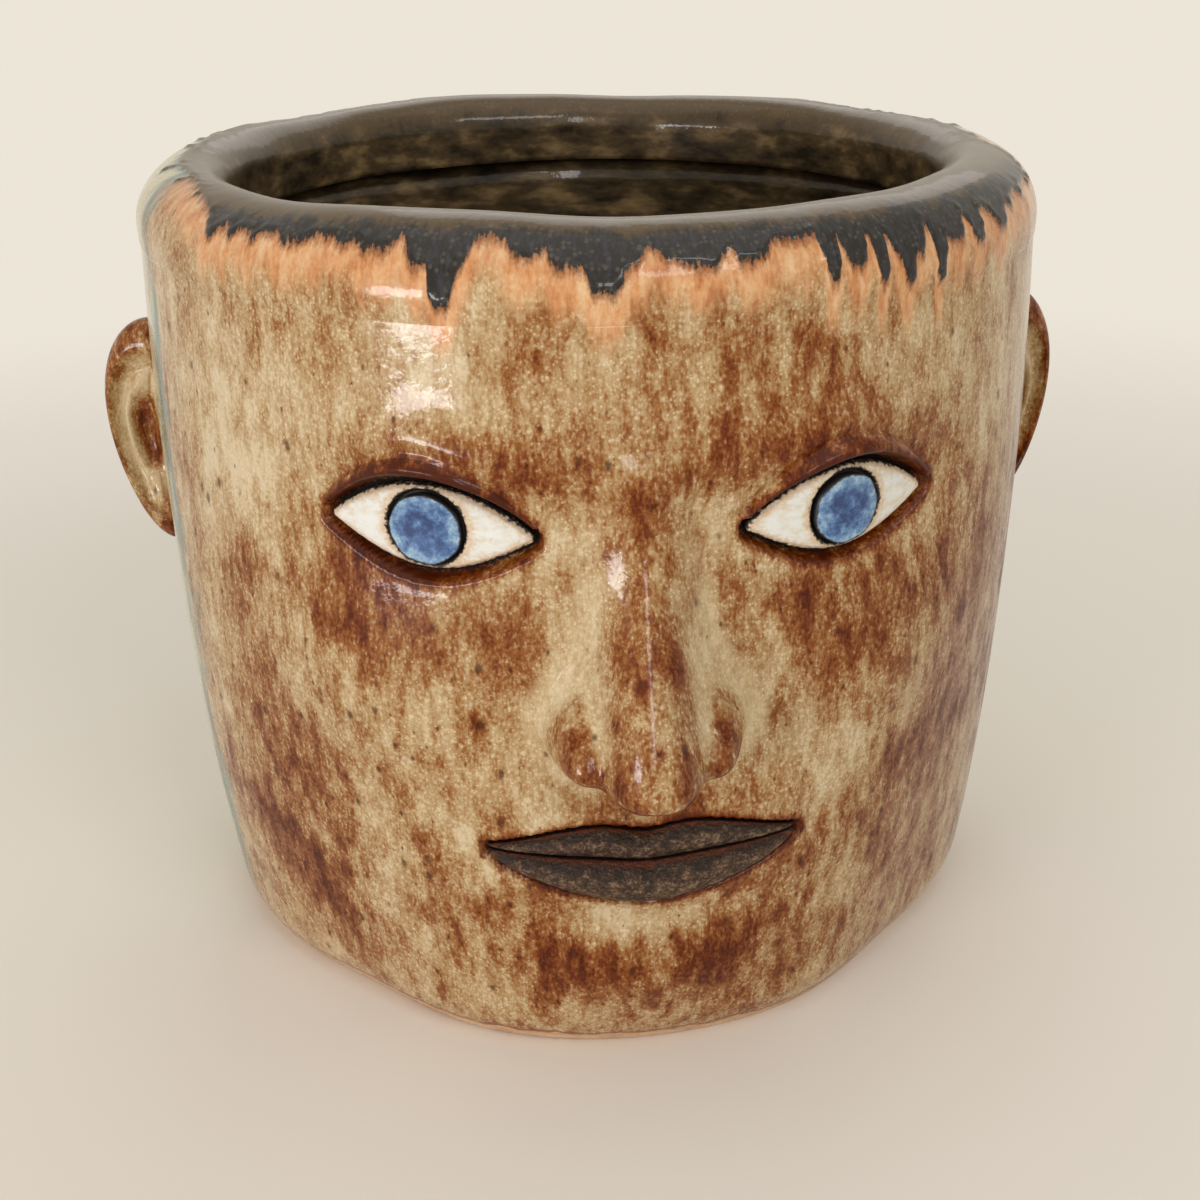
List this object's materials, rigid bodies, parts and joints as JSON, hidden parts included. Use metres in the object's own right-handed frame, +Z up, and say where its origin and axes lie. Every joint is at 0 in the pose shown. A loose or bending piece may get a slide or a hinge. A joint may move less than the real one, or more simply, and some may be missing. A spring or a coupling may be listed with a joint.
{
  "type": "face planter",
  "caption": "Round hand-built stoneware planter shaped as a head, with a rolled rim, relief nose, pressed ears, inlaid eyes and lips, and a drain hole.",
  "frame": {"origin": "on the table, under the middle of the planter's outline from nose tip to back and from ear to ear", "axes": "+Z up, the face looks along -Y, +X towards the head's own left ear"},
  "size_m": [0.1572, 0.1544, 0.127],
  "materials": {
    "face_glaze": "gloss glaze, tan to cream, mottled with rust and iron specks",
    "rim_glaze": "satin glaze, brown-black, running down in short drips",
    "white_slip": "matt off-white slip, slightly pitted",
    "blue_glaze": "satin mottled blue",
    "dark_slip": "dry grey-brown stain with rust edges",
    "bare_clay": "unglazed buff stoneware"
  },
  "bodies": {
    "root": {"wall": "face_glaze", "rim_coil": "rim_glaze", "floor_slab": "bare_clay", "nose": "face_glaze", "left_ear": "face_glaze", "right_ear": "face_glaze", "left_upper_lid": "face_glaze", "right_upper_lid": "face_glaze", "left_eye_white": "white_slip", "right_eye_white": "white_slip", "left_iris": "blue_glaze", "right_iris": "blue_glaze", "upper_lip": "dark_slip", "lower_lip": "dark_slip"}
  },
  "joints": []
}
